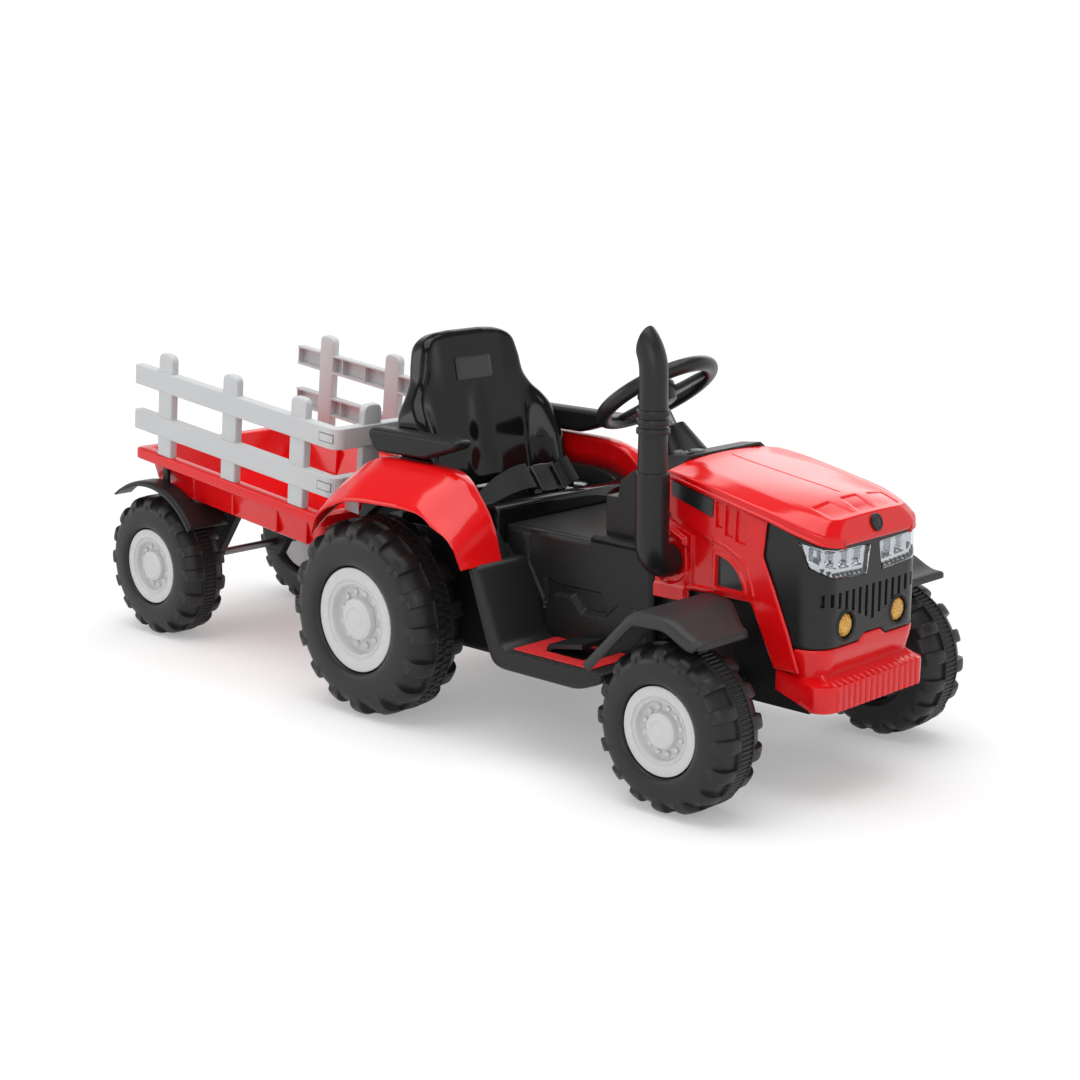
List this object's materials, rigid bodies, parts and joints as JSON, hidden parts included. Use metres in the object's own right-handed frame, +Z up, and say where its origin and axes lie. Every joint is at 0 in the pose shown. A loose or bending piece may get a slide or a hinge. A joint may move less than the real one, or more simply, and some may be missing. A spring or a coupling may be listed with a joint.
{
  "type": "ride-on toy tractor with trailer",
  "caption": "Child's battery ride-on tractor with a steerable front axle, bucket seat, dummy exhaust and a hitched cargo trailer with slatted fences.",
  "frame": {"origin": "on the floor, under the centre of the whole train's bounding box", "axes": "+X forward along the tractor, +Y to the driver's left, +Z up"},
  "size_m": [1.3463, 0.508, 0.5613],
  "materials": {
    "red_plastic": "glossy",
    "black_plastic": "satin",
    "grey_plastic": "satin",
    "seat_plastic": "glossy",
    "tyre_plastic": "satin",
    "light_grey_plastic": "satin",
    "clear_plastic": "clear",
    "chrome_trim": "polished",
    "amber_plastic": "clear",
    "steel": "drawn",
    "webbing": "woven"
  },
  "bodies": {
    "tractor_body": {"chassis_tub": "black_plastic", "drive_unit_left": "black_plastic", "drive_unit_right": "black_plastic", "battery": "black_plastic", "rear_axle": "steel", "front_subframe": "black_plastic", "hood": "red_plastic", "nose_cap": "black_plastic", "side_panel_left": "red_plastic", "side_panel_right": "red_plastic", "side_windows": "grey_plastic", "grille_panel": "black_plastic", "headlamp_lenses": "clear_plastic", "headlamp_reflectors": "chrome_trim", "fog_lamps": "amber_plastic", "bumper": "red_plastic", "dash_panel": "black_plastic", "column_boot": "black_plastic", "exhaust_stack": "black_plastic", "seat_pan": "seat_plastic", "seat_back": "seat_plastic", "seat_belt_webs": "webbing", "belt_buckle": "black_plastic", "rear_fender_left": "red_plastic", "rear_fender_right": "red_plastic", "front_fender_left": "grey_plastic", "front_fender_right": "grey_plastic", "foot_mats": "red_plastic", "tow_hitch": "steel"},
    "steering": {"steering_wheel": "black_plastic", "steering_shaft": "steel"},
    "horn": {"horn_button": "black_plastic"},
    "steering_link": {"tie_rod": "steel"},
    "start": {"start_button": "red_plastic"},
    "rocker": {"direction_switch": "black_plastic"},
    "pedal": {"accelerator_pedal": "black_plastic"},
    "trailer": {"trailer_tub": "red_plastic", "trailer_fence_left": "light_grey_plastic", "trailer_fence_right": "light_grey_plastic", "trailer_fence_front": "light_grey_plastic", "trailer_fenders": "black_plastic", "axle_hangers": "black_plastic", "trailer_axle": "steel", "tow_bar": "steel"},
    "rear_wheel_right": {"rear_tyre_right": "tyre_plastic", "rear_rim_right": "light_grey_plastic"},
    "knuckle_right": {"steering_knuckle_right": "steel"},
    "front_wheel_right": {"front_tyre_right": "tyre_plastic", "front_rim_right": "light_grey_plastic"},
    "trailer_wheel_right": {"trailer_tyre_right": "tyre_plastic", "trailer_rim_right": "light_grey_plastic"},
    "armrest_right": {"armrest_right": "black_plastic"},
    "rear_wheel_left": {"rear_tyre_left": "tyre_plastic", "rear_rim_left": "light_grey_plastic"},
    "knuckle_left": {"steering_knuckle_left": "steel"},
    "front_wheel_left": {"front_tyre_left": "tyre_plastic", "front_rim_left": "light_grey_plastic"},
    "trailer_wheel_left": {"trailer_tyre_left": "tyre_plastic", "trailer_rim_left": "light_grey_plastic"},
    "armrest_left": {"armrest_left": "black_plastic"}
  },
  "joints": [
    {"name": "steering_turn", "type": "hinge", "parent": "tractor_body", "child": "steering", "pos_m": [0.314, 0, 0.453], "axis": [-0.5736, 0, 0.8191], "range_deg": [-35, 35]},
    {"name": "horn_press", "type": "slide", "parent": "steering", "child": "horn", "axis": [0.5736, 0, -0.8191], "range_m": [0, 0.003], "stiffness_N_per_m": 400, "springref_m": -0.001},
    {"name": "steering_link_slide", "type": "slide", "parent": "tractor_body", "child": "steering_link", "axis": [0, 1, 0], "range_m": [-0.0174, 0.0174]},
    {"name": "start_press", "type": "slide", "parent": "tractor_body", "child": "start", "axis": [0, 0, -1], "range_m": [0, 0.0025], "stiffness_N_per_m": 300, "springref_m": -0.001},
    {"name": "direction_rock", "type": "hinge", "parent": "tractor_body", "child": "rocker", "pos_m": [0.407, -0.056, 0.391], "axis": [0, 1, 0], "range_deg": [-12, 12]},
    {"name": "pedal_press", "type": "hinge", "parent": "tractor_body", "child": "pedal", "pos_m": [0.29646, -0.16, 0.144], "axis": [0, 1, 0], "range_deg": [0, 8], "stiffness_Nm_per_rad": 1, "springref_deg": -5.73},
    {"name": "trailer_yaw", "type": "hinge", "parent": "tractor_body", "child": "trailer", "pos_m": [-0.141, 0, 0.156], "axis": [0, 0, 1], "range_deg": [-10, 10]},
    {"name": "rear_wheel_right_spin", "type": "hinge", "parent": "tractor_body", "child": "rear_wheel_right", "pos_m": [-0.011, -0.2, 0.1362], "axis": [0, 1, 0], "continuous": true},
    {"name": "knuckle_right_turn", "type": "hinge", "parent": "tractor_body", "child": "knuckle_right", "pos_m": [0.536, -0.158, 0.15], "axis": [0, 0, 1], "range_deg": [-20.2, 20.2]},
    {"name": "front_wheel_right_spin", "type": "hinge", "parent": "knuckle_right", "child": "front_wheel_right", "pos_m": [0.536, -0.21, 0.1035], "axis": [0, 1, 0], "continuous": true},
    {"name": "trailer_wheel_right_spin", "type": "hinge", "parent": "trailer", "child": "trailer_wheel_right", "pos_m": [-0.563, -0.15, 0.1103], "axis": [0, 1, 0], "continuous": true},
    {"name": "armrest_right_lift", "type": "hinge", "parent": "tractor_body", "child": "armrest_right", "pos_m": [-0.039, -0.138, 0.37], "axis": [0, -1, 0], "range_deg": [0, 85]},
    {"name": "rear_wheel_left_spin", "type": "hinge", "parent": "tractor_body", "child": "rear_wheel_left", "pos_m": [-0.011, 0.2, 0.1362], "axis": [0, 1, 0], "continuous": true},
    {"name": "knuckle_left_turn", "type": "hinge", "parent": "tractor_body", "child": "knuckle_left", "pos_m": [0.536, 0.158, 0.15], "axis": [0, 0, 1], "range_deg": [-20.2, 20.2]},
    {"name": "front_wheel_left_spin", "type": "hinge", "parent": "knuckle_left", "child": "front_wheel_left", "pos_m": [0.536, 0.21, 0.1035], "axis": [0, 1, 0], "continuous": true},
    {"name": "trailer_wheel_left_spin", "type": "hinge", "parent": "trailer", "child": "trailer_wheel_left", "pos_m": [-0.563, 0.15, 0.1103], "axis": [0, 1, 0], "continuous": true},
    {"name": "armrest_left_lift", "type": "hinge", "parent": "tractor_body", "child": "armrest_left", "pos_m": [-0.039, 0.138, 0.37], "axis": [0, -1, 0], "range_deg": [0, 85]}
  ],
  "couplings": [
    {"joint": "steering_link_slide", "follows": "steering_turn", "m_per_rad": -0.0282},
    {"joint": "knuckle_right_turn", "follows": "steering_turn", "ratio": 0.5746},
    {"joint": "knuckle_left_turn", "follows": "steering_turn", "ratio": 0.5746}
  ]
}
